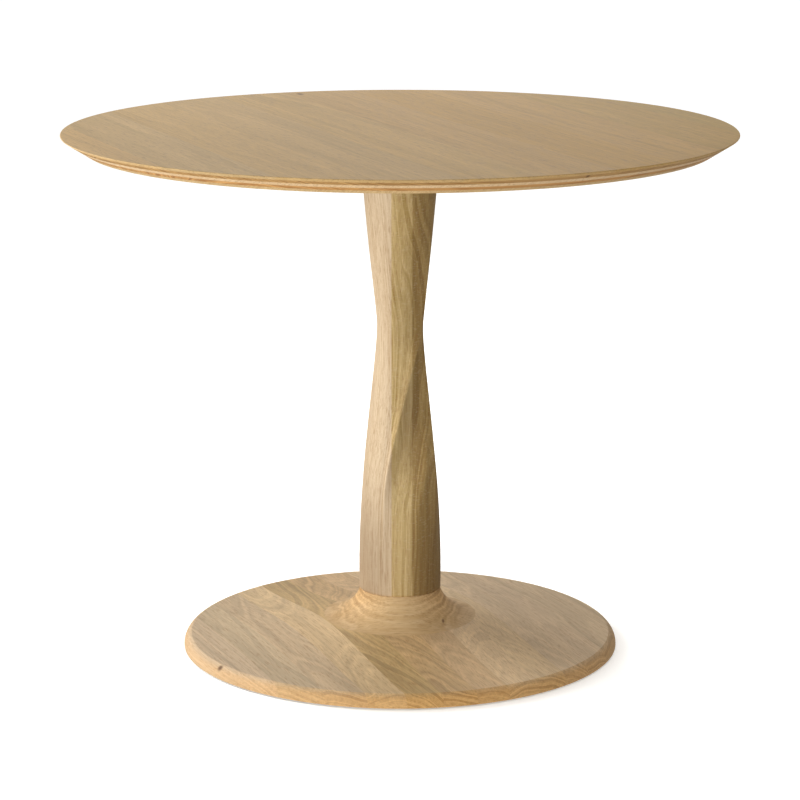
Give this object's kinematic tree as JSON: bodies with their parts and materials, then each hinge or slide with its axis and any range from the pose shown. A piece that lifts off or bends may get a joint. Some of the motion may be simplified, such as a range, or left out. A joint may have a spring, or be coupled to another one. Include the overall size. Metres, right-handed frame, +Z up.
{
  "type": "round pedestal table",
  "caption": "Round table with a bevelled layered top on a faceted, twisted hourglass column and a dished round base of glued staves with levelling feet.",
  "frame": {"origin": "on the floor, under the column's axis", "axes": "+Z up along the column, -Y towards the front, +X to the right"},
  "size_m": [0.95, 0.95, 0.75],
  "materials": {
    "oak_face": "satin lacquer",
    "oak_cross_layer": "satin lacquer",
    "oak_core": "satin lacquer",
    "oak_column": "satin lacquer",
    "oak_stave": "satin lacquer",
    "beech_dowel": "bare",
    "black_steel": "powder coated",
    "zinc_steel": "zinc plated",
    "brass": "turned",
    "nylon": "moulded"
  },
  "bodies": {
    "table": {"top_face_board_1": "oak_face", "top_face_board_2": "oak_face", "top_face_board_3": "oak_face", "top_face_board_4": "oak_face", "top_face_board_5": "oak_face", "top_face_board_6": "oak_face", "top_face_board_7": "oak_face", "top_face_board_8": "oak_face", "top_face_board_9": "oak_face", "top_face_board_10": "oak_face", "top_cross_layer_upper": "oak_cross_layer", "top_core_layer": "oak_core", "top_cross_layer_lower": "oak_cross_layer", "top_backing_layer": "oak_core", "top_inserts": "brass", "top_plate": "black_steel", "top_plate_screws": "zinc_steel", "plate_tube": "black_steel", "column_screws": "zinc_steel", "column": "oak_column", "column_dowels": "beech_dowel", "tie_rod": "zinc_steel", "tie_rod_washer": "zinc_steel", "tie_rod_nut": "zinc_steel", "base_boss": "oak_column", "base_stave_1": "oak_stave", "base_stave_2": "oak_stave", "base_stave_3": "oak_stave", "base_stave_4": "oak_stave", "base_stave_5": "oak_stave", "base_stave_6": "oak_stave", "base_stave_7": "oak_stave", "base_stave_8": "oak_stave", "base_stave_9": "oak_stave", "base_stave_10": "oak_stave", "base_stave_11": "oak_stave", "base_stave_12": "oak_stave", "base_stave_13": "oak_stave", "base_weight": "black_steel", "base_weight_screws": "zinc_steel", "foot_inserts": "brass"},
    "foot_pad_1": {"foot_pad_1": "nylon"},
    "foot_pad_2": {"foot_pad_2": "nylon"},
    "foot_pad_3": {"foot_pad_3": "nylon"},
    "foot_pad_4": {"foot_pad_4": "nylon"},
    "foot_stem_1": {"foot_stem_1": "zinc_steel"},
    "foot_stem_2": {"foot_stem_2": "zinc_steel"},
    "foot_stem_3": {"foot_stem_3": "zinc_steel"},
    "foot_stem_4": {"foot_stem_4": "zinc_steel"}
  },
  "joints": [
    {"name": "foot_height_1", "type": "slide", "parent": "table", "child": "foot_pad_1", "axis": [0, 0, -1], "range_m": [0, 0.0081]},
    {"name": "foot_turn_1", "type": "hinge", "parent": "foot_pad_1", "child": "foot_stem_1", "pos_m": [0.12234, 0.20827, 0.012], "axis": [0, 0, -1], "range_deg": [0, 2304]},
    {"name": "foot_height_2", "type": "slide", "parent": "table", "child": "foot_pad_2", "axis": [0, 0, -1], "range_m": [0, 0.0081]},
    {"name": "foot_turn_2", "type": "hinge", "parent": "foot_pad_2", "child": "foot_stem_2", "pos_m": [-0.20827, 0.12234, 0.012], "axis": [0, 0, -1], "range_deg": [0, 2304]},
    {"name": "foot_height_3", "type": "slide", "parent": "table", "child": "foot_pad_3", "axis": [0, 0, -1], "range_m": [0, 0.0081]},
    {"name": "foot_turn_3", "type": "hinge", "parent": "foot_pad_3", "child": "foot_stem_3", "pos_m": [-0.12234, -0.20827, 0.012], "axis": [0, 0, -1], "range_deg": [0, 2304]},
    {"name": "foot_height_4", "type": "slide", "parent": "table", "child": "foot_pad_4", "axis": [0, 0, -1], "range_m": [0, 0.0081]},
    {"name": "foot_turn_4", "type": "hinge", "parent": "foot_pad_4", "child": "foot_stem_4", "pos_m": [0.20827, -0.12234, 0.012], "axis": [0, 0, -1], "range_deg": [0, 2304]}
  ],
  "couplings": [
    {"joint": "foot_height_1", "follows": "foot_turn_1", "m_per_rad": 0.00019894},
    {"joint": "foot_height_2", "follows": "foot_turn_2", "m_per_rad": 0.00019894},
    {"joint": "foot_height_3", "follows": "foot_turn_3", "m_per_rad": 0.00019894},
    {"joint": "foot_height_4", "follows": "foot_turn_4", "m_per_rad": 0.00019894}
  ]
}
